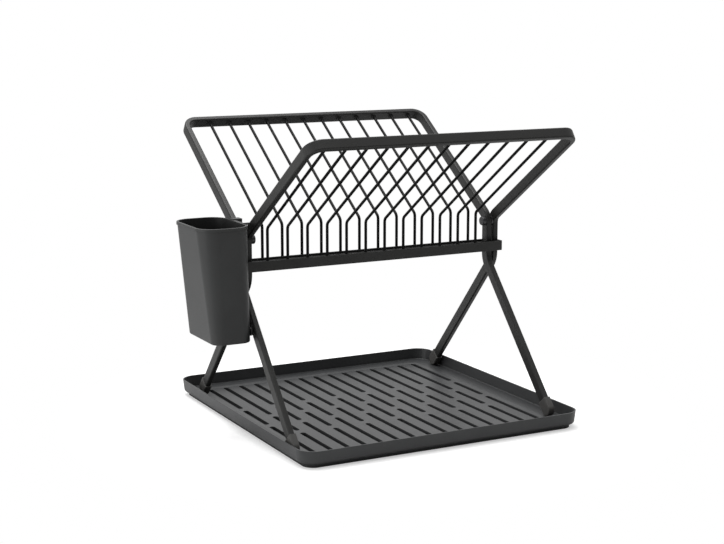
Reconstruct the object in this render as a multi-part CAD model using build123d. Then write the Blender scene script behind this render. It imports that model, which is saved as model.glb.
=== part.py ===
from build123d import *
import math
import os

# A folding dish rack with two wings of wire, a cutlery basket and a drip tray, in millimetres.
# X runs to the right, Y to the back and Z up, and the tray stands on Z = 0.
# The rear wing and the front legs are one bent tube, and the front wing and rear legs another.
# The two tubes cross side by side at each end and turn on one pivot, so that the rack folds flat.

os.makedirs("parts", exist_ok=True)

# Clearances
weld_gap = 0.05
rest_gap = 0.1
moving_gap = 0.3
running_fit = 0.05
insert_gap = 0.1

# Drip tray, which is laid out round the feet that stand on its ledge
tray_side_room = 1.3
tray_end_room = 39.3
tray_height = 23.5
tray_corner = 24.0
tray_wall = 1.8
wall_lean = 1.9
bowl_radius = 4.6
ledge_top = 7.0
ledge_fillet = 1.4
ledge_side_room = 1.5
ledge_end_width = 21.5
floor_slope = 6.0
floor_corner = 12.0
floor_top = 6.0
floor_thickness = 2.0
skirt_inset = 8.5
skirt_wall = 2.0
rib_width = 2.4

# Drain grooves in the tray floor, in columns along Y, each broken by two bridges
groove_columns = 15
groove_pitch = 24.55
groove_width = 7.6
groove_base_width = 5.8
groove_depth = 4.3
groove_wall = 1.3
groove_end_room = 7.5
bridge_length = 12.0
bridges_first = (-27.0, 63.0)
bridges_second = (-72.0, 17.5)

# Tube of the two folding frames
tube_width = 8.0
tube_depth = 15.0
tube_wall = 1.2
tube_edge = 2.0
frame_outer_x = 204.0
frame_gap = 3.0
arm_corner_z = 265.1
leg_corner_z = 202.8
arm_lean = 55.5
leg_lean = 41.5
arm_length = 240.5
arm_bend = 16.0
leg_bend = 28.0
rail_bend = 17.0

# Foot caps on the tube ends
cap_width = 10.0
cap_depth = 18.0
cap_length = 15.0
cap_edge = 1.4
cap_floor = 4.5
foot_pin_radius = 2.0
foot_pin_length = 6.0

# Pivots
pivot_z = 259.1
pin_radius = 2.5
pin_head_radius = 5.0
pin_head_height = 1.2
pin_end_length = 4.0
washer_radius = 7.0
knob_radius = 6.5
knob_height = 5.5
knob_edge = 1.2

# Wires, cross rods and the flat front bar
wire_count = 12
wire_radius = 2.0
wire_side_room = 19.15
wire_shift = 2.5
wire_low_z = 222.0
wire_bend = 8.0
rod_radius = 2.3
rod_end_inset = 1.0
bar_low_z = 217.2
bar_height = 13.7
bar_thickness = 1.5
bar_bend = 2.2
tab_end_right_y = 2.0
tab_end_left_y = -8.0
tab_edge = 3.0
tab_side_gap = 0.4
screw_y = -3.0
screw_z = 224.0
screw_radius = 1.5
screw_length = 4.0
screw_head_radius = 3.4
screw_head_height = 2.2

# Cutlery basket with its hook and spacer
basket_stand_off = 4.0
basket_rise = 20.9
basket_height = 154.0
basket_top_width = 70.0
basket_top_depth = 109.0
basket_top_corner = 24.0
basket_top_y = -8.0
basket_base_width = 54.4
basket_base_depth = 101.0
basket_base_corner = 14.0
basket_base_y = -9.8
basket_wall = 2.0
basket_rim_height = 4.0
basket_rim_reach = 1.0
drain_radius = 3.0
drain_rows = 3
drain_columns = 6
drain_pitch = 14.0
hook_front_y = -28.0
hook_back_y = 18.0
hook_drop = 37.0
saddle_front_y = 4.0
saddle_drop = 11.0
saddle_rise = 1.2
saddle_edge = 1.5
lip_thickness = 2.0
tongue_width = 4.0
tongue_height = 2.5
spacer_z = 144.5
spacer_shift = 5.5
spacer_radius = 6.0
spacer_hole_radius = 2.5
spacer_edge = 1.0

# Values that follow from the ones above
frame_inner_x = frame_outer_x - tube_width - frame_gap
outer_line_x = frame_outer_x - tube_width / 2
inner_line_x = frame_inner_x - tube_width / 2
foot_z = ledge_top + moving_gap + cap_depth / 2
foot_y = (leg_corner_z - foot_z) * math.tan(math.radians(leg_lean))
tray_width = 2 * (outer_line_x + cap_width / 2 + tray_side_room + tray_wall + wall_lean)
tray_depth = 2 * (foot_y + cap_depth / 2 + tray_end_room + tray_wall + wall_lean)
floor_half_x = inner_line_x - cap_width / 2 - ledge_side_room
floor_half_y = tray_depth / 2 - ledge_end_width
groove_reach = floor_half_y - groove_end_room
arm_way_y = math.sin(math.radians(arm_lean))
arm_way_z = math.cos(math.radians(arm_lean))
leg_way_y = math.sin(math.radians(leg_lean))
leg_way_z = math.cos(math.radians(leg_lean))
rail_y = arm_length * arm_way_y
rail_z = arm_corner_z + arm_length * arm_way_z
tube_start = cap_floor + insert_gap
tube_end_y = foot_y - tube_start * leg_way_y
tube_end_z = foot_z + tube_start * leg_way_z
last_wire_x = frame_inner_x - tube_width - wire_side_room
wire_pitch = 2 * (last_wire_x - wire_shift) / (wire_count - 1)
rod_y = tube_depth / 2 + rest_gap + rod_radius
rod_z = bar_low_z + bar_height - rod_radius
wire_y = rod_y + rod_radius + weld_gap + wire_radius
wire_corner_z = arm_corner_z + wire_y * arm_way_z / arm_way_y
wire_end = arm_length - tube_width / 2
bar_back_y = -(wire_y + wire_radius + weld_gap)
bar_mid_y = bar_back_y - bar_thickness / 2
bar_mid_z = bar_low_z + bar_height / 2
tab_right_x = frame_outer_x + weld_gap + bar_thickness / 2
tab_left_x = -(frame_outer_x + tab_side_gap + bar_thickness / 2)
basket_back_x = -(frame_outer_x + basket_stand_off)
basket_top_z = arm_corner_z + basket_rise
basket_base_z = basket_top_z - basket_height
spacer_y = spacer_shift - (leg_corner_z - spacer_z) * leg_way_y / leg_way_z


def slab(width, depth, corner, low, high):
    """A rounded rectangle from one height to another, centred on the Z axis."""
    return Pos(0, 0, low) * extrude(RectangleRounded(width, depth, corner), amount=high - low)


def rod_along_x(radius, start_x, end_x, y, z):
    """A round rod parallel to X."""
    middle = (start_x + end_x) / 2
    return Pos(middle, y, z) * Rot(0, 90, 0) * Cylinder(radius, abs(end_x - start_x))


def block(start, end):
    """A plain block between two opposite corners."""
    size = [end[number] - start[number] for number in range(3)]
    middle = [(end[number] + start[number]) / 2 for number in range(3)]
    return Pos(*middle) * Box(*size)


def edges_at_height(shape, z):
    """The edges that lie at one height."""
    return shape.edges().filter_by_position(Axis.Z, z - 0.01, z + 0.01)


def bent_bar(points, radii, section, across):
    """One bar along a line of corner points, with each corner bent to its radius."""
    places = [Vector(*point) for point in points]
    side = Vector(*across)
    start = places[0]
    pieces = []
    for number in range(len(places) - 1):
        way = (places[number + 1] - places[number]).normalized()
        end = places[number + 1]
        has_bend = number < len(radii)
        if has_bend:
            next_way = (places[number + 2] - places[number + 1]).normalized()
            turn = way.get_angle(next_way)
            end = end - way * (radii[number] * math.tan(math.radians(turn / 2)))
        run_plane = Plane(origin=start, x_dir=side, z_dir=way)
        pieces.append(extrude(run_plane * section, amount=(end - start).length))
        if has_bend:
            bend_way = way.cross(next_way).normalized()
            centre = end + bend_way.cross(way) * radii[number]
            bend_plane = Plane(origin=end, x_dir=side, z_dir=way)
            pieces.append(revolve(bend_plane * section, Axis(centre, bend_way), turn))
            turning = Axis((0, 0, 0), bend_way)
            start = centre + (end - centre).rotate(turning, turn)
            side = side.rotate(turning, turn)
    bar = pieces[0]
    for piece in pieces[1:]:
        bar = bar + piece
    return bar


def half_turn(shape):
    """The same shape turned half a turn about the Z axis."""
    return Rot(0, 0, 180) * shape


# Drip tray


def groove_spans(bridges):
    """The start and end of each groove in one column, between its bridges."""
    spans = []
    start = -groove_reach
    for bridge in bridges:
        spans.append((start, bridge - bridge_length / 2))
        start = bridge + bridge_length / 2
    spans.append((start, groove_reach))
    return spans


def groove_places():
    """The X, middle Y and length of every groove."""
    places = []
    for column in range(groove_columns):
        x = (column - (groove_columns - 1) / 2) * groove_pitch
        bridges = bridges_first if column % 2 == 0 else bridges_second
        for start, end in groove_spans(bridges):
            places.append((x, (start + end) / 2, end - start))
    return places


def groove(place, spread, top, low):
    """A groove with sloped sides and round ends, grown outwards by a spread."""
    x, y, length = place
    shrink = groove_width - groove_base_width
    upper = Rot(0, 0, 90) * SlotOverall(length + 2 * spread, groove_width + 2 * spread)
    lower_length = length - shrink + 2 * spread
    lower = Rot(0, 0, 90) * SlotOverall(lower_length, groove_base_width + 2 * spread)
    return loft([Pos(x, y, low) * lower, Pos(x, y, top) * upper])


def tray_shell():
    """The bowl of the tray, with its leaning wall, its ledge and a sunken floor."""
    under = ledge_top - tray_wall
    outer_low = RectangleRounded(
        tray_width - 2 * wall_lean, tray_depth - 2 * wall_lean, tray_corner - wall_lean)
    outer_top = RectangleRounded(tray_width, tray_depth, tray_corner)
    outer = loft([Pos(0, 0, under) * outer_low, Pos(0, 0, tray_height) * outer_top])
    outer = fillet(edges_at_height(outer, under), bowl_radius)
    low_inset = wall_lean + tray_wall
    inner_low = RectangleRounded(
        tray_width - 2 * low_inset, tray_depth - 2 * low_inset, tray_corner - low_inset)
    inner_top = RectangleRounded(
        tray_width - 2 * tray_wall, tray_depth - 2 * tray_wall, tray_corner - tray_wall)
    inner = loft([Pos(0, 0, ledge_top) * inner_low, Pos(0, 0, tray_height) * inner_top])
    inner = fillet(edges_at_height(inner, ledge_top), ledge_fillet)
    shell = outer - inner
    pan_outer = slab(
        2 * (floor_half_x + tray_wall), 2 * (floor_half_y + tray_wall),
        floor_corner + tray_wall, floor_top - floor_thickness, ledge_top)
    pan_low = RectangleRounded(
        2 * (floor_half_x - floor_slope), 2 * (floor_half_y - floor_slope), floor_corner)
    pan_top = RectangleRounded(2 * floor_half_x, 2 * floor_half_y, floor_corner + floor_slope)
    pan_inner = loft([Pos(0, 0, floor_top) * pan_low, Pos(0, 0, ledge_top) * pan_top])
    return shell + pan_outer - pan_inner


def tray_underside():
    """The skirt that the tray stands on and a cross of ribs under the floor."""
    outer_width = tray_width - 2 * skirt_inset
    outer_depth = tray_depth - 2 * skirt_inset
    corner = tray_corner - skirt_inset
    top = ledge_top - tray_wall / 2
    skirt = slab(outer_width, outer_depth, corner, 0, top) - slab(
        outer_width - 2 * skirt_wall, outer_depth - 2 * skirt_wall, corner - skirt_wall, 0, top)
    rib_top = floor_top - floor_thickness / 2
    rib_x = outer_width / 2 - skirt_wall / 2
    rib_y = outer_depth / 2 - skirt_wall / 2
    long_rib = block((-rib_x, -rib_width / 2, 0), (rib_x, rib_width / 2, rib_top))
    cross_rib = block((-rib_width / 2, -rib_y, 0), (rib_width / 2, rib_y, rib_top))
    return skirt + long_rib + cross_rib


def make_drip_tray():
    """The tray with grooves in its floor that also show from below."""
    groove_base = floor_top - groove_depth
    channels = []
    hollows = []
    for place in groove_places():
        channels.append(groove(place, groove_wall, floor_top, groove_base - groove_wall))
        hollows.append(groove(place, 0, floor_top, groove_base))
    tray = tray_shell() + tray_underside()
    tray = tray + channels
    return tray - hollows


# Folding frames


def tube_section():
    """The hollow section of the tube, narrow along X in the arms and legs."""
    outside = RectangleRounded(tube_width, tube_depth, tube_edge)
    inside = RectangleRounded(
        tube_width - 2 * tube_wall, tube_depth - 2 * tube_wall, tube_edge - tube_wall)
    return outside - inside


def frame_line():
    """The corner points of the rear wing's tube, from its left foot to its right foot."""
    left = -outer_line_x
    right = inner_line_x
    return [
        (left, -tube_end_y, tube_end_z),
        (left, 0, leg_corner_z),
        (left, 0, arm_corner_z),
        (left, rail_y, rail_z),
        (right, rail_y, rail_z),
        (right, 0, arm_corner_z),
        (right, 0, leg_corner_z),
        (right, -tube_end_y, tube_end_z),
    ]


def make_wing_frame():
    """The rear wing's tube with the pivot holes in its two uprights."""
    radii = [leg_bend, arm_bend, rail_bend, rail_bend, arm_bend, leg_bend]
    frame = bent_bar(frame_line(), radii, tube_section(), (1, 0, 0))
    hole_radius = pin_radius + running_fit
    span = tube_width
    for x in (-outer_line_x, inner_line_x):
        frame = frame - rod_along_x(hole_radius, x - span, x + span, 0, pivot_z)
    return frame


def make_foot_cap(x, with_pin_hole):
    """A cap over the end of a front leg, rounded under the foot."""
    half = cap_depth / 2
    outline = Pos(0, cap_length / 2) * Rectangle(cap_depth, cap_length) + Circle(half)
    cap = extrude(Plane.YZ * outline, amount=cap_width / 2, both=True)
    sides = cap.faces().filter_by(Axis.X)
    cap = fillet(sides.edges(), cap_edge)
    pocket = RectangleRounded(
        tube_width + 2 * insert_gap, tube_depth + 2 * insert_gap, tube_edge + insert_gap)
    cap = cap - Pos(0, 0, cap_floor) * extrude(pocket, amount=cap_length)
    if with_pin_hole:
        hole_half = foot_pin_length / 2 + insert_gap
        cap = cap - rod_along_x(foot_pin_radius + running_fit, -hole_half, hole_half, 0, 0)
    return Pos(x, -foot_y, foot_z) * Rot(-leg_lean, 0, 0) * cap


# Pivots, made for the left end, where the rear wing's tube is the outer one


def make_pivot_pin():
    """A headed pin through both tubes at the left end."""
    head_x = -(frame_outer_x + rest_gap)
    end_x = -(frame_inner_x - tube_width - moving_gap - pin_end_length)
    shank = rod_along_x(pin_radius, head_x, end_x, 0, pivot_z)
    head = rod_along_x(pin_head_radius, head_x - pin_head_height, head_x, 0, pivot_z)
    outer_face = head.faces().sort_by(Axis.X)[0]
    head = fillet(outer_face.edges(), pin_head_height / 3)
    return shank + head


def make_pivot_washer():
    """The washer that keeps the two tubes apart at the left end."""
    start = -(frame_inner_x + moving_gap)
    end = -(frame_inner_x + frame_gap - rest_gap)
    ring = rod_along_x(washer_radius, end, start, 0, pivot_z)
    return ring - rod_along_x(pin_radius + running_fit, end - 1, start + 1, 0, pivot_z)


def make_pivot_knob():
    """The round cap on the end of the left pin, inside the rack."""
    start = -(frame_inner_x - tube_width - moving_gap)
    knob = rod_along_x(knob_radius, start, start + knob_height, 0, pivot_z)
    inner_face = knob.faces().sort_by(Axis.X)[-1]
    knob = fillet(inner_face.edges(), knob_edge)
    hole_end = start + pin_end_length + insert_gap
    return knob - rod_along_x(pin_radius + running_fit, start - 1, hole_end, 0, pivot_z)


# Wires, rods and bar


def make_rear_wire(number):
    """One wire of the rear wing, from below the rod up to the rail."""
    x = (number - (wire_count - 1) / 2) * wire_pitch + wire_shift
    line = [
        (x, wire_y, wire_low_z),
        (x, wire_y, wire_corner_z),
        (x, wire_end * arm_way_y, arm_corner_z + wire_end * arm_way_z),
    ]
    wire = bent_bar(line, [wire_bend], Circle(wire_radius), (1, 0, 0))
    return fillet(edges_at_height(wire, wire_low_z), wire_radius / 3)


def make_rear_rod():
    """The rod across the back of the rear wing's uprights, which the wires are welded to."""
    start = -(frame_outer_x - rod_end_inset)
    end = frame_inner_x - rod_end_inset
    return rod_along_x(rod_radius, start, end, rod_y, rod_z)


def make_front_bar():
    """The flat bar in front of the front wing's wires, with both ends bent back."""
    line = [
        (tab_right_x, tab_end_right_y, bar_mid_z),
        (tab_right_x, bar_mid_y, bar_mid_z),
        (tab_left_x, bar_mid_y, bar_mid_z),
        (tab_left_x, tab_end_left_y, bar_mid_z),
    ]
    strip = Rectangle(bar_thickness, bar_height)
    bar = bent_bar(line, [bar_bend, bar_bend], strip, (1, 0, 0))
    for end_y in (tab_end_right_y, tab_end_left_y):
        at_end = bar.edges().filter_by(Axis.X).filter_by_position(Axis.Y, end_y - 0.01, end_y + 0.01)
        bar = fillet(at_end, tab_edge)
    hole_radius = screw_radius + insert_gap
    return bar - rod_along_x(hole_radius, tab_right_x - 2, tab_right_x + 2, screw_y, screw_z)


def make_bar_screw():
    """The screw through the bar's right end into the front wing's tube."""
    head_start = frame_outer_x + weld_gap + bar_thickness + weld_gap
    head_end = head_start + screw_head_height
    head = rod_along_x(screw_head_radius, head_start, head_end, screw_y, screw_z)
    outer_face = head.faces().sort_by(Axis.X)[-1]
    head = fillet(outer_face.edges(), screw_head_height * 0.7)
    shank = rod_along_x(screw_radius, head_start - screw_length, head_start, screw_y, screw_z)
    return head + shank


# Cutlery basket


def basket_section(share, inset):
    """The basket's outline at a share of its height, drawn in by an inset."""
    width = basket_base_width + share * (basket_top_width - basket_base_width)
    depth = basket_base_depth + share * (basket_top_depth - basket_base_depth)
    corner = basket_base_corner + share * (basket_top_corner - basket_base_corner)
    y = basket_base_y + share * (basket_top_y - basket_base_y)
    z = basket_base_z + share * (basket_top_z - basket_base_z)
    outline = RectangleRounded(width - 2 * inset, depth - 2 * inset, corner - inset)
    return Pos(basket_back_x - width / 2, y, z) * outline


def make_basket():
    """The basket with its rim, tapered walls and drain holes."""
    outer = loft([basket_section(0, 0), basket_section(1, 0)])
    outer = fillet(edges_at_height(outer, basket_base_z), basket_wall)
    floor_share = basket_wall / (basket_top_z - basket_base_z)
    inner = loft([basket_section(floor_share, basket_wall), basket_section(1, basket_wall)])
    rim_outline = RectangleRounded(
        basket_top_width + 2 * basket_rim_reach, basket_top_depth + 2 * basket_rim_reach,
        basket_top_corner + basket_rim_reach)
    rim_low_z = basket_top_z - basket_rim_height
    rim_place = Pos(basket_back_x - basket_top_width / 2, basket_top_y, rim_low_z)
    rim = rim_place * extrude(rim_outline, amount=basket_rim_height)
    rim = fillet(edges_at_height(rim, basket_top_z), basket_rim_reach * 0.6)
    rim = rim - block(
        (basket_back_x, basket_top_y - basket_top_depth, rim_low_z),
        (basket_back_x + 2 * basket_rim_reach, basket_top_y + basket_top_depth, basket_top_z))
    basket = outer + rim - inner
    middle_x = basket_back_x - basket_base_width / 2
    for row in range(drain_rows):
        for column in range(drain_columns):
            x = middle_x + (row - (drain_rows - 1) / 2) * drain_pitch
            y = basket_base_y + (column - (drain_columns - 1) / 2) * drain_pitch
            basket = basket - Pos(x, y, basket_base_z) * Cylinder(drain_radius, 6 * basket_wall)
    return basket


def make_basket_hook():
    """A hook behind the basket, over the rear wing's left arm and its pivot head."""
    front_x = -(frame_outer_x + moving_gap + rest_gap)
    inner_x = -(frame_inner_x + frame_gap - moving_gap)
    low_z = basket_top_z - hook_drop
    plate = block((basket_back_x, hook_front_y, low_z), (front_x, hook_back_y, basket_top_z))
    notch_radius = pin_head_radius + moving_gap
    notch = block((basket_back_x, -notch_radius, low_z), (front_x, notch_radius, pivot_z))
    notch = notch + rod_along_x(notch_radius, basket_back_x, front_x, 0, pivot_z)
    saddle = block(
        (basket_back_x, saddle_front_y, basket_top_z - saddle_drop),
        (inner_x + lip_thickness, hook_back_y, basket_top_z + saddle_rise))
    saddle = fillet(saddle.edges().filter_by(Axis.Z).sort_by(Axis.X)[-2:], saddle_edge)
    tongue = block(
        (basket_back_x, hook_front_y, basket_top_z - tongue_height),
        (inner_x, hook_front_y + tongue_width, basket_top_z))
    keep_out = RectangleRounded(
        tube_width + 2 * moving_gap, tube_depth + 2 * moving_gap, tube_edge + moving_gap)
    arm = bent_bar(frame_line()[1:4], [arm_bend], keep_out, (1, 0, 0))
    return plate - notch + saddle + tongue - arm


def make_basket_spacer():
    """A round spacer with a hole, between the basket and the rear wing's left leg."""
    end_x = -(frame_outer_x + moving_gap)
    spacer = rod_along_x(spacer_radius, basket_back_x, end_x, spacer_y, spacer_z)
    face = spacer.faces().sort_by(Axis.X)[-1]
    spacer = fillet(face.edges(), spacer_edge)
    return spacer - rod_along_x(
        spacer_hole_radius, basket_back_x - 1, end_x + 1, spacer_y, spacer_z)


def save(shape, name):
    """Write one named piece."""
    export_step(shape, f"parts/{name}.step")


save(make_drip_tray(), "drip_tray")

wing_frame = make_wing_frame()
save(wing_frame, "rear_wing_frame")
screw_hole = rod_along_x(
    screw_radius + insert_gap, frame_outer_x - tube_width / 2, frame_outer_x + 1, screw_y, screw_z)
save(half_turn(wing_frame) - screw_hole, "front_wing_frame")

for wire_number in range(wire_count):
    save(make_rear_wire(wire_number), f"rear_wire_{wire_number + 1:02d}")
    turned_number = wire_count - 1 - wire_number
    save(half_turn(make_rear_wire(turned_number)), f"front_wire_{wire_number + 1:02d}")

save(make_rear_rod(), "rear_rod")
save(half_turn(make_rear_rod()), "front_rod")
save(make_front_bar(), "front_bar")
save(make_bar_screw(), "bar_screw")

save(make_foot_cap(-outer_line_x, False), "front_foot_cap_left")
save(make_foot_cap(inner_line_x, False), "front_foot_cap_right")
save(half_turn(make_foot_cap(inner_line_x, True)), "rear_foot_cap_left")
save(half_turn(make_foot_cap(-outer_line_x, True)), "rear_foot_cap_right")

foot_pin_half = foot_pin_length / 2
for side_name, pin_x in (("left", -inner_line_x), ("right", outer_line_x)):
    foot_pin = rod_along_x(foot_pin_radius, pin_x - foot_pin_half, pin_x + foot_pin_half, foot_y, foot_z)
    save(foot_pin, f"rear_foot_pin_{side_name}")

save(make_pivot_pin(), "pivot_pin_left")
save(half_turn(make_pivot_pin()), "pivot_pin_right")
save(make_pivot_washer(), "pivot_washer_left")
save(half_turn(make_pivot_washer()), "pivot_washer_right")
save(make_pivot_knob(), "pivot_knob_left")
save(half_turn(make_pivot_knob()), "pivot_knob_right")

save(make_basket(), "cutlery_basket")
save(make_basket_hook(), "basket_hook")
save(make_basket_spacer(), "basket_spacer")
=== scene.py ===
"""A folding dish rack of coated steel on a moulded drip tray, in a plain bright studio."""
import math

import bmesh
import bpy
from mathutils import Matrix, Vector


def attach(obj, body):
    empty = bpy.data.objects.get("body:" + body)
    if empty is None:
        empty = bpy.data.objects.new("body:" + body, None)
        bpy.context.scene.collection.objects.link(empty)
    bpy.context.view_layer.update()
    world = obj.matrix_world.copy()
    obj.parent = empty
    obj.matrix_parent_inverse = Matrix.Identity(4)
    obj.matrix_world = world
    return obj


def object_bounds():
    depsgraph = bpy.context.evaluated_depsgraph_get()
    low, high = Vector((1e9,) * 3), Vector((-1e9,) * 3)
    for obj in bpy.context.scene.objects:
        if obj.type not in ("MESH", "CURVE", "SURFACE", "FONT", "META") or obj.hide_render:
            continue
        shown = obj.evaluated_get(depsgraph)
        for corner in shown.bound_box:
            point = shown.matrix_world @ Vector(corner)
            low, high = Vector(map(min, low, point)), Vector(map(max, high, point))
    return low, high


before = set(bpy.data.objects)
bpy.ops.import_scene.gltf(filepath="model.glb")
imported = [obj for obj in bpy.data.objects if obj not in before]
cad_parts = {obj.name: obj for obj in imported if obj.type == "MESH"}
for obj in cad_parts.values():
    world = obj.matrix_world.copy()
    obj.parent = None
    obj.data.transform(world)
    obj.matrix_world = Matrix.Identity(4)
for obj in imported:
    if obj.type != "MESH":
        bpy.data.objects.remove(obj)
cad_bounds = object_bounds()

MM = 0.001

# Camera

# The rack is seen from its front left, a little from above.
CAMERA_AZIMUTH = math.radians(27.667)
CAMERA_ELEVATION = math.radians(10.313)
CAMERA_DISTANCE = 2117.6 * MM
CAMERA_SIDE = -13.9 * MM
CAMERA_REACH = 50
AIM_HEIGHT = 199.0 * MM
IMAGE_WIDTH = 724
FOCAL_PIXELS = 1510.2
SENSOR_MM = 36.0


def place_camera():
    """The camera looks at a point over the tray's centre, moved a little to the side."""
    back = Vector((
        -math.sin(CAMERA_AZIMUTH) * math.cos(CAMERA_ELEVATION),
        -math.cos(CAMERA_AZIMUTH) * math.cos(CAMERA_ELEVATION),
        math.sin(CAMERA_ELEVATION),
    ))
    right = (-back).cross(Vector((0, 0, 1))).normalized()
    up = back.cross(right)
    place = Vector((0, 0, AIM_HEIGHT)) + back * CAMERA_DISTANCE + right * CAMERA_SIDE
    data = bpy.data.cameras.new("camera")
    data.sensor_width = SENSOR_MM
    data.lens = FOCAL_PIXELS / IMAGE_WIDTH * SENSOR_MM
    data.clip_end = CAMERA_REACH
    camera = bpy.data.objects.new("camera", data)
    camera.matrix_world = Matrix((
        (right.x, up.x, back.x, place.x),
        (right.y, up.y, back.y, place.y),
        (right.z, up.z, back.z, place.z),
        (0, 0, 0, 1),
    ))
    bpy.context.scene.collection.objects.link(camera)
    bpy.context.scene.camera = camera


# Materials

# A noise runs from 0 to 1, and nearly all of it lies between these two values.
NOISE_LOW = 0.3
NOISE_HIGH = 0.7
CLOUD_DETAIL = 3.0
GRAIN_DETAIL = 2.0
GRAIN_STRENGTH = 0.6
# The grain takes this much off the roughness in its dips, and adds this much on its peaks.
SMOOTHER = 0.05
ROUGHER = 0.06
# Dust gathers in specks some grains wide, where its own noise is high, and never covers fully.
DUST_GRAINS = 6
DUST_DETAIL = 6.0
DUST_START = 0.62
DUST_FULL = 0.8
DUST_COVER = 0.5
# A place is in a hollow where little of its surroundings is open, and out of it where much is. In a hollow,
# painted shade darkens the colour.
HOLLOW_SHARE = 0.32
OPEN_SHARE = 0.85
HOLLOW_SAMPLES = 8
# Every moulded or coated edge is a little round and catches the light.
EDGE_RADIUS = 0.6 * MM
EDGE_SAMPLES = 4
# The places of the colour sockets on a node that mixes two colours.
MIX_SHARE, MIX_FIRST, MIX_SECOND, MIX_RESULT = 0, 6, 7, 2


def linear(code):
    """An sRGB hex colour as linear RGBA."""
    values = [int(code[i:i + 2], 16) / 255 for i in (1, 3, 5)]
    return [v / 12.92 if v <= 0.04045 else ((v + 0.055) / 1.055) ** 2.4 for v in values] + [1.0]


def add(tree, kind, settings=None, links=None):
    """Adds one node: settings set its sockets or properties, links join its inputs."""
    node = tree.nodes.new(kind)
    for name, value in (settings or {}).items():
        if name in node.inputs:
            node.inputs[name].default_value = value
        else:
            setattr(node, name, value)
    for name, source in (links or {}).items():
        tree.links.new(source, node.inputs[name])
    return node


def coated(name, dark, light, roughness, ior, cloud_mm, grain_mm, grain_depth_mm, dust=None, painted_shade=None):
    """A finish of one colour with broad faint clouds and a fine surface grain.
    The clouds shift the colour, and the grain is a bump that also breaks the shine.
    Dust is a paler colour that gathers in small specks. A painted shade is a darker colour
    painted into hollows as shade, with the width in millimetres of such a hollow."""
    material = bpy.data.materials.new(name)
    material.use_nodes = True
    tree = material.node_tree
    tree.nodes.clear()
    place = add(tree, "ShaderNodeTexCoord").outputs["Object"]
    cloud = add(tree, "ShaderNodeTexNoise", {"Scale": 1 / (cloud_mm * MM), "Detail": CLOUD_DETAIL},
                {"Vector": place})
    grain = add(tree, "ShaderNodeTexNoise", {"Scale": 1 / (grain_mm * MM), "Detail": GRAIN_DETAIL},
                {"Vector": place})
    ramp = add(tree, "ShaderNodeValToRGB", links={"Fac": cloud.outputs["Fac"]})
    for element, position, code in zip(ramp.color_ramp.elements, (NOISE_LOW, NOISE_HIGH), (dark, light)):
        element.position = position
        element.color = linear(code)
    colour = ramp.outputs["Color"]
    if dust:
        speck_scale = 1 / (DUST_GRAINS * grain_mm * MM)
        speck = add(tree, "ShaderNodeTexNoise", {"Scale": speck_scale, "Detail": DUST_DETAIL},
                    {"Vector": place})
        share = add(tree, "ShaderNodeMapRange", {
            "From Min": DUST_START, "From Max": DUST_FULL, "To Max": DUST_COVER,
        }, {"Value": speck.outputs["Fac"]})
        mix = add(tree, "ShaderNodeMix", {"data_type": "RGBA"})
        mix.inputs[MIX_SECOND].default_value = linear(dust)
        tree.links.new(share.outputs["Result"], mix.inputs[MIX_SHARE])
        tree.links.new(colour, mix.inputs[MIX_FIRST])
        colour = mix.outputs[MIX_RESULT]
    # Painted shade: where ambient occlusion finds a hollow, the colour turns towards a darker one.
    if painted_shade:
        shade_colour, hollow_mm = painted_shade
        sky = add(tree, "ShaderNodeAmbientOcclusion", {"Distance": hollow_mm * MM, "samples": HOLLOW_SAMPLES})
        share = add(tree, "ShaderNodeMapRange", {"From Min": HOLLOW_SHARE, "From Max": OPEN_SHARE},
                    {"Value": sky.outputs["AO"]})
        mix = add(tree, "ShaderNodeMix", {"data_type": "RGBA"})
        mix.inputs[MIX_FIRST].default_value = linear(shade_colour)
        tree.links.new(share.outputs["Result"], mix.inputs[MIX_SHARE])
        tree.links.new(colour, mix.inputs[MIX_SECOND])
        colour = mix.outputs[MIX_RESULT]
    shine = add(tree, "ShaderNodeMapRange", {
        "From Min": NOISE_LOW, "From Max": NOISE_HIGH,
        "To Min": roughness - SMOOTHER, "To Max": roughness + ROUGHER,
    }, {"Value": grain.outputs["Fac"]})
    edge = add(tree, "ShaderNodeBevel", {"Radius": EDGE_RADIUS, "samples": EDGE_SAMPLES})
    bump = add(tree, "ShaderNodeBump", {"Strength": GRAIN_STRENGTH, "Distance": grain_depth_mm * MM},
               {"Height": grain.outputs["Fac"], "Normal": edge.outputs["Normal"]})
    shader = add(tree, "ShaderNodeBsdfPrincipled", {"IOR": ior}, {
        "Base Color": colour,
        "Roughness": shine.outputs["Result"],
        "Normal": bump.outputs["Normal"],
    })
    add(tree, "ShaderNodeOutputMaterial", links={"Surface": shader.outputs["BSDF"]})
    return material


# The real coats and plastics have an IOR of about 1.5. Where it is lower here, it was brought
# down until the sides that mirror the bright room are as dark as on the object.

# Moulded polypropylene, satin: spark-eroded grain of about 0.3 mm, drawn at 0.9 mm so that it
# shows, with a few specks of pale dust. Painted shade darkens its grooves and inner corners, so the grooves
# read as dark lines.
tray_plastic = coated(
    "moulded_polypropylene_tray", "#303132", "#373839", roughness=0.42, ior=1.44,
    cloud_mm=70, grain_mm=0.9, grain_depth_mm=0.03, dust="#4a4b4c", painted_shade=("#0f1011", 9))
# The basket is of the same kind, a little darker and duller, and painted shade makes its deep inside nearly
# black.
basket_plastic = coated(
    "moulded_polypropylene_basket", "#292a2a", "#2f3030", roughness=0.48, ior=1.44,
    cloud_mm=60, grain_mm=0.8, grain_depth_mm=0.03, painted_shade=("#070808", 80))
# Powder-coated steel, satin: the orange peel of cured powder, about 1.5 mm across, softens
# what the flat faces mirror.
frame_coat = coated(
    "powder_coated_steel_tube", "#1c1c1b", "#232322", roughness=0.47, ior=1.39,
    cloud_mm=50, grain_mm=1.5, grain_depth_mm=0.02)
bar_coat = coated(
    "powder_coated_steel_strip", "#272726", "#2e2e2d", roughness=0.54, ior=1.38,
    cloud_mm=45, grain_mm=1.5, grain_depth_mm=0.03)
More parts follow.
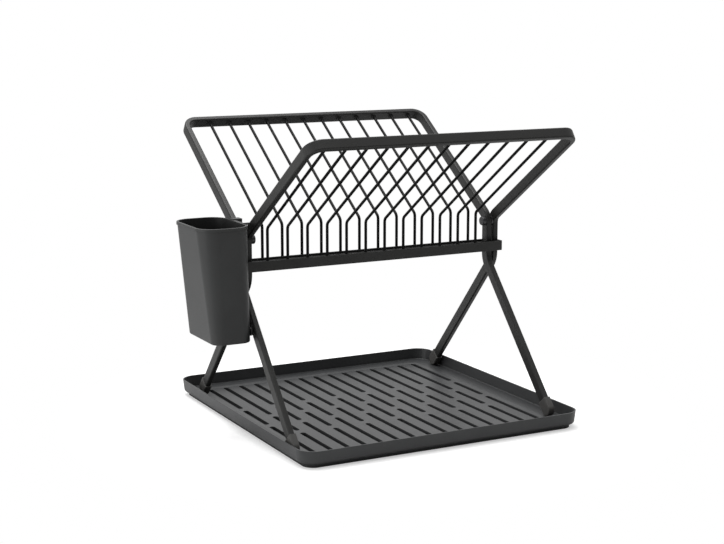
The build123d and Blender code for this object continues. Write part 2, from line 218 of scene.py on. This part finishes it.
# Dip-coated steel wire: a thick even nylon skin, blacker and smoother than the powder.
wire_coat = coated(
    "nylon_dipped_wire", "#050505", "#090909", roughness=0.40, ior=1.20,
    cloud_mm=40, grain_mm=2.5, grain_depth_mm=0.008)
# Weld bead under the powder: a rough, lumpy skin, paler than the wire.
bead_coat = coated(
    "powder_coated_weld_bead", "#111111", "#191918", roughness=0.55, ior=1.30,
    cloud_mm=4, grain_mm=0.8, grain_depth_mm=0.06)
# Moulded rubber: matt and a little paler than the tubes, with the fine grain of its mould.
foot_rubber = coated(
    "moulded_rubber", "#3d3c3a", "#454442", roughness=0.60, ior=1.49,
    cloud_mm=20, grain_mm=0.7, grain_depth_mm=0.03, dust="#555452")
# Moulded nylon: smooth and dark, so that the pivot knobs and washers carry a small highlight.
knob_nylon = coated(
    "moulded_nylon", "#222224", "#2a2a2b", roughness=0.30, ior=1.49,
    cloud_mm=15, grain_mm=1.2, grain_depth_mm=0.01)
# Blackened steel: an oxide skin on turned pins, a little blotchy.
pin_steel = coated(
    "blackened_steel", "#2a2a2d", "#363639", roughness=0.34, ior=1.49,
    cloud_mm=6, grain_mm=0.6, grain_depth_mm=0.01)

NODE_MATERIALS = (
    ("drip_tray", tray_plastic),
    ("cutlery_basket", basket_plastic),
    ("basket_", basket_plastic),
    ("rear_wing_frame", frame_coat),
    ("front_wing_frame", frame_coat),
    ("front_bar", bar_coat),
    ("rear_wire_", wire_coat),
    ("front_wire_", wire_coat),
    ("rear_rod", wire_coat),
    ("front_rod", wire_coat),
    ("front_foot_cap_", foot_rubber),
    ("rear_foot_cap_", foot_rubber),
    ("pivot_knob_", knob_nylon),
    ("pivot_washer_", knob_nylon),
    ("pivot_pin_", pin_steel),
    ("rear_foot_pin_", pin_steel),
    ("bar_screw", pin_steel),
)


def finish_nodes():
    """Gives every solid the finish of its real material."""
    for name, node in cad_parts.items():
        material = next(m for start, m in NODE_MATERIALS if name.startswith(start))
        node.data.materials.clear()
        node.data.materials.append(material)


# Weld beads

# The wires stand in the middle plane of each wing and end on the inner face of its rail.
WIRE_COUNT = 12
WIRE_PITCH = 29.7 * MM
WIRE_SHIFT = 2.5 * MM
WIRE_RADIUS = 2.0 * MM
WIRE_REACH = 236.5 * MM
WING_LEAN = math.radians(55.5)
WING_FOOT_Z = 265.1 * MM
# The wires touch their cross rod on its outer side.
CROSS_Y = 12.2 * MM
CROSS_Z = 228.6 * MM

# A bead starts just under the wire's skin and widens in a hollow curve towards the rail.
BEAD_START = 0.99 * WIRE_RADIUS
BEAD_REACH = 1.9 * MM
BEAD_LENGTH = 3.0 * MM
BEAD_STEPS = 5
BEAD_POINTS = 20
BEAD_WAVE = 0.05
BEAD_TURN = 1.7
# A flash is a lens round the wire: its ends lie inside the wire, and its middle bulges past it.
FLASH_RADIUS = 1.5 * MM
FLASH_START = 0.6 * WIRE_RADIUS
FLASH_STEPS = 6
FLASH_POINTS = 16
FLASH_WAVE = 0.04
FLASH_TURN = 2.3


def ring_points(centre, way, radius, count, wave, turn):
    """Points of a slightly uneven ring round a line, with three and five soft lobes."""
    side = Vector((1, 0, 0))
    across = way.cross(side).normalized()
    points = []
    for number in range(count):
        angle = 2 * math.pi * number / count
        reach = radius * (1 + wave * math.sin(3 * angle + turn) + wave * math.sin(5 * angle + 2 * turn))
        points.append(centre + side * reach * math.cos(angle) + across * reach * math.sin(angle))
    return points


def skin(mesh, rings):
    """Joins rings of points into a skin and closes both ends."""
    loops = [[mesh.verts.new(point) for point in ring] for ring in rings]
    count = len(loops[0])
    for low, high in zip(loops, loops[1:]):
        for number in range(count):
            after = (number + 1) % count
            mesh.faces.new((low[number], low[after], high[after], high[number]))
    mesh.faces.new(list(reversed(loops[0])))
    mesh.faces.new(loops[-1])


def rail_bead(mesh, foot, way, turn):
    """A hollow-curved bead round a wire where it meets the rail."""
    rings = []
    for number in range(BEAD_STEPS + 1):
        share = number / BEAD_STEPS
        radius = BEAD_START + BEAD_REACH * (1 - share) ** 2
        centre = foot - way * (BEAD_LENGTH * share)
        rings.append(ring_points(centre, way, radius, BEAD_POINTS, BEAD_WAVE * (1 - share), turn))
    skin(mesh, rings)


def rod_flash(mesh, centre, turn):
    """A small lens of squeezed metal where a wire crosses the rod."""
    rings = []
    way = Vector((0, 0, 1))
    for number in range(1, FLASH_STEPS):
        angle = math.pi * number / FLASH_STEPS
        place = centre - way * (FLASH_RADIUS * math.cos(angle))
        radius = FLASH_START + FLASH_RADIUS * math.sin(angle)
        rings.append(ring_points(place, way, radius, FLASH_POINTS, FLASH_WAVE, turn))
    skin(mesh, rings)


def weld_beads(name, body, side):
    """The beads of one wing: side is 1 for the rear wing and -1 for the front one."""
    mesh = bmesh.new()
    way = Vector((0, side * math.sin(WING_LEAN), math.cos(WING_LEAN)))
    for number in range(WIRE_COUNT):
        x = side * ((number - (WIRE_COUNT - 1) / 2) * WIRE_PITCH + WIRE_SHIFT)
        start = Vector((x, 0, WING_FOOT_Z))
        rail_bead(mesh, start + way * WIRE_REACH, way, BEAD_TURN * number)
        rod_flash(mesh, Vector((x, side * CROSS_Y, CROSS_Z)), FLASH_TURN * number)
    bmesh.ops.recalc_face_normals(mesh, faces=mesh.faces)
    for face in mesh.faces:
        face.smooth = True
    data = bpy.data.meshes.new(name)
    mesh.to_mesh(data)
    mesh.free()
    data.materials.append(bead_coat)
    piece = bpy.data.objects.new(name, data)
    bpy.context.scene.collection.objects.link(piece)
    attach(piece, body)


# Studio

FLOOR_HALF = 30
FLOOR_DROP = 0.02 * MM
FLOOR_PAINT = "#dcdcdc"
# The camera sees the floor this much above its own paint, which makes it white in full light.
FLOOR_LIFT = 0.42
# From the first distance off the tray's centre to the second, the floor turns into plain white.
FADE_START = 0.30
FADE_END = 0.44

# The room is dim in front of the rack and white behind and above it.
ROOM_DIM = 0.08
ROOM_BRIGHT = 1.0
ROOM_WAY = Vector((-0.05, 0.72, 0.69)).normalized()
# It is darkest where a direction points this far against that way, and whitest this far along.
ROOM_AGAINST = -0.75
ROOM_ALONG = 0.85

# Each lamp has a place and an aim in metres, a width, a height and a power in watts.
LEFT_LAMP = ((-2.4, -0.1, 0.45), (0, 0, 0.2), 1.0, 0.8, 10)
TOP_LAMP = ((-0.1, 0.5, 2.4), (0, 0, 0), 1.6, 1.6, 48)


def studio_floor():
    """A floor that the camera sees as white, with the rack's soft shadow near it."""
    mesh = bpy.data.meshes.new("studio_floor")
    corners = [(x * FLOOR_HALF, y * FLOOR_HALF, 0) for x, y in ((-1, -1), (1, -1), (1, 1), (-1, 1))]
    mesh.from_pydata(corners, [], [(0, 1, 2, 3)])
    floor = bpy.data.objects.new("studio_floor", mesh)
    floor.location.z = cad_bounds[0][2] - FLOOR_DROP
    bpy.context.scene.collection.objects.link(floor)
    material = bpy.data.materials.new("white_studio_floor")
    material.use_nodes = True
    tree = material.node_tree
    tree.nodes.clear()
    place = add(tree, "ShaderNodeTexCoord").outputs["Object"]
    away = add(tree, "ShaderNodeVectorMath", {"operation": "LENGTH"})
    tree.links.new(place, away.inputs[0])
    fade = add(tree, "ShaderNodeMapRange", {"From Min": FADE_START, "From Max": FADE_END},
               {"Value": away.outputs["Value"]})
    seen = add(tree, "ShaderNodeLightPath").outputs["Is Camera Ray"]
    paint = add(tree, "ShaderNodeBsdfDiffuse", {"Color": linear(FLOOR_PAINT)})
    lift_level = add(tree, "ShaderNodeMath", {"operation": "MULTIPLY"})
    lift_level.inputs[1].default_value = FLOOR_LIFT
    tree.links.new(seen, lift_level.inputs[0])
    lift = add(tree, "ShaderNodeEmission", links={"Strength": lift_level.outputs["Value"]})
    near = add(tree, "ShaderNodeAddShader")
    tree.links.new(paint.outputs["BSDF"], near.inputs[0])
    tree.links.new(lift.outputs["Emission"], near.inputs[1])
    white = add(tree, "ShaderNodeEmission", {"Strength": 1.0})
    share = add(tree, "ShaderNodeMath", {"operation": "MULTIPLY"})
    tree.links.new(fade.outputs["Result"], share.inputs[0])
    tree.links.new(seen, share.inputs[1])
    surface = add(tree, "ShaderNodeMixShader")
    tree.links.new(share.outputs["Value"], surface.inputs[0])
    tree.links.new(near.outputs["Shader"], surface.inputs[1])
    tree.links.new(white.outputs["Emission"], surface.inputs[2])
    add(tree, "ShaderNodeOutputMaterial", links={"Surface": surface.outputs["Shader"]})
    mesh.materials.append(material)


def studio_world():
    """Plain white to the camera, and a softly shaded room to the surfaces."""
    world = bpy.data.worlds.new("studio")
    bpy.context.scene.world = world
    world.use_nodes = True
    tree = world.node_tree
    tree.nodes.clear()
    way = add(tree, "ShaderNodeTexCoord").outputs["Generated"]
    toward = add(tree, "ShaderNodeVectorMath", {"operation": "DOT_PRODUCT"})
    tree.links.new(way, toward.inputs[0])
    toward.inputs[1].default_value = ROOM_WAY
    room_level = add(tree, "ShaderNodeMapRange", {
        "interpolation_type": "SMOOTHSTEP",
        "From Min": ROOM_AGAINST, "From Max": ROOM_ALONG, "To Min": ROOM_DIM, "To Max": ROOM_BRIGHT,
    }, {"Value": toward.outputs["Value"]})
    light_path = add(tree, "ShaderNodeLightPath")
    direct = add(tree, "ShaderNodeMath", {"operation": "MAXIMUM"})
    tree.links.new(light_path.outputs["Is Camera Ray"], direct.inputs[0])
    tree.links.new(light_path.outputs["Is Transmission Ray"], direct.inputs[1])
    strength = add(tree, "ShaderNodeMapRange", {"To Max": 1.0}, {"Value": direct.outputs["Value"]})
    tree.links.new(room_level.outputs["Result"], strength.inputs["To Min"])
    room = add(tree, "ShaderNodeBackground", {"Color": linear("#ffffff")},
               {"Strength": strength.outputs["Result"]})
    add(tree, "ShaderNodeOutputWorld", links={"Surface": room.outputs["Background"]})


def lamp(name, place, aim, width, height, power):
    """A soft rectangular lamp that faces a point."""
    data = bpy.data.lights.new(name, "AREA")
    data.shape = "RECTANGLE"
    data.size = width
    data.size_y = height
    data.energy = power
    light = bpy.data.objects.new(name, data)
    light.location = place
    light.rotation_euler = (Vector(aim) - Vector(place)).to_track_quat("-Z", "Y").to_euler()
    bpy.context.scene.collection.objects.link(light)


bpy.context.scene.view_settings.view_transform = "Standard"
place_camera()
finish_nodes()
weld_beads("rear_wing_weld_beads", "rear_wing", 1)
weld_beads("front_wing_weld_beads", "front_wing", -1)
studio_floor()
studio_world()
lamp("left_lamp", *LEFT_LAMP)
lamp("top_lamp", *TOP_LAMP)
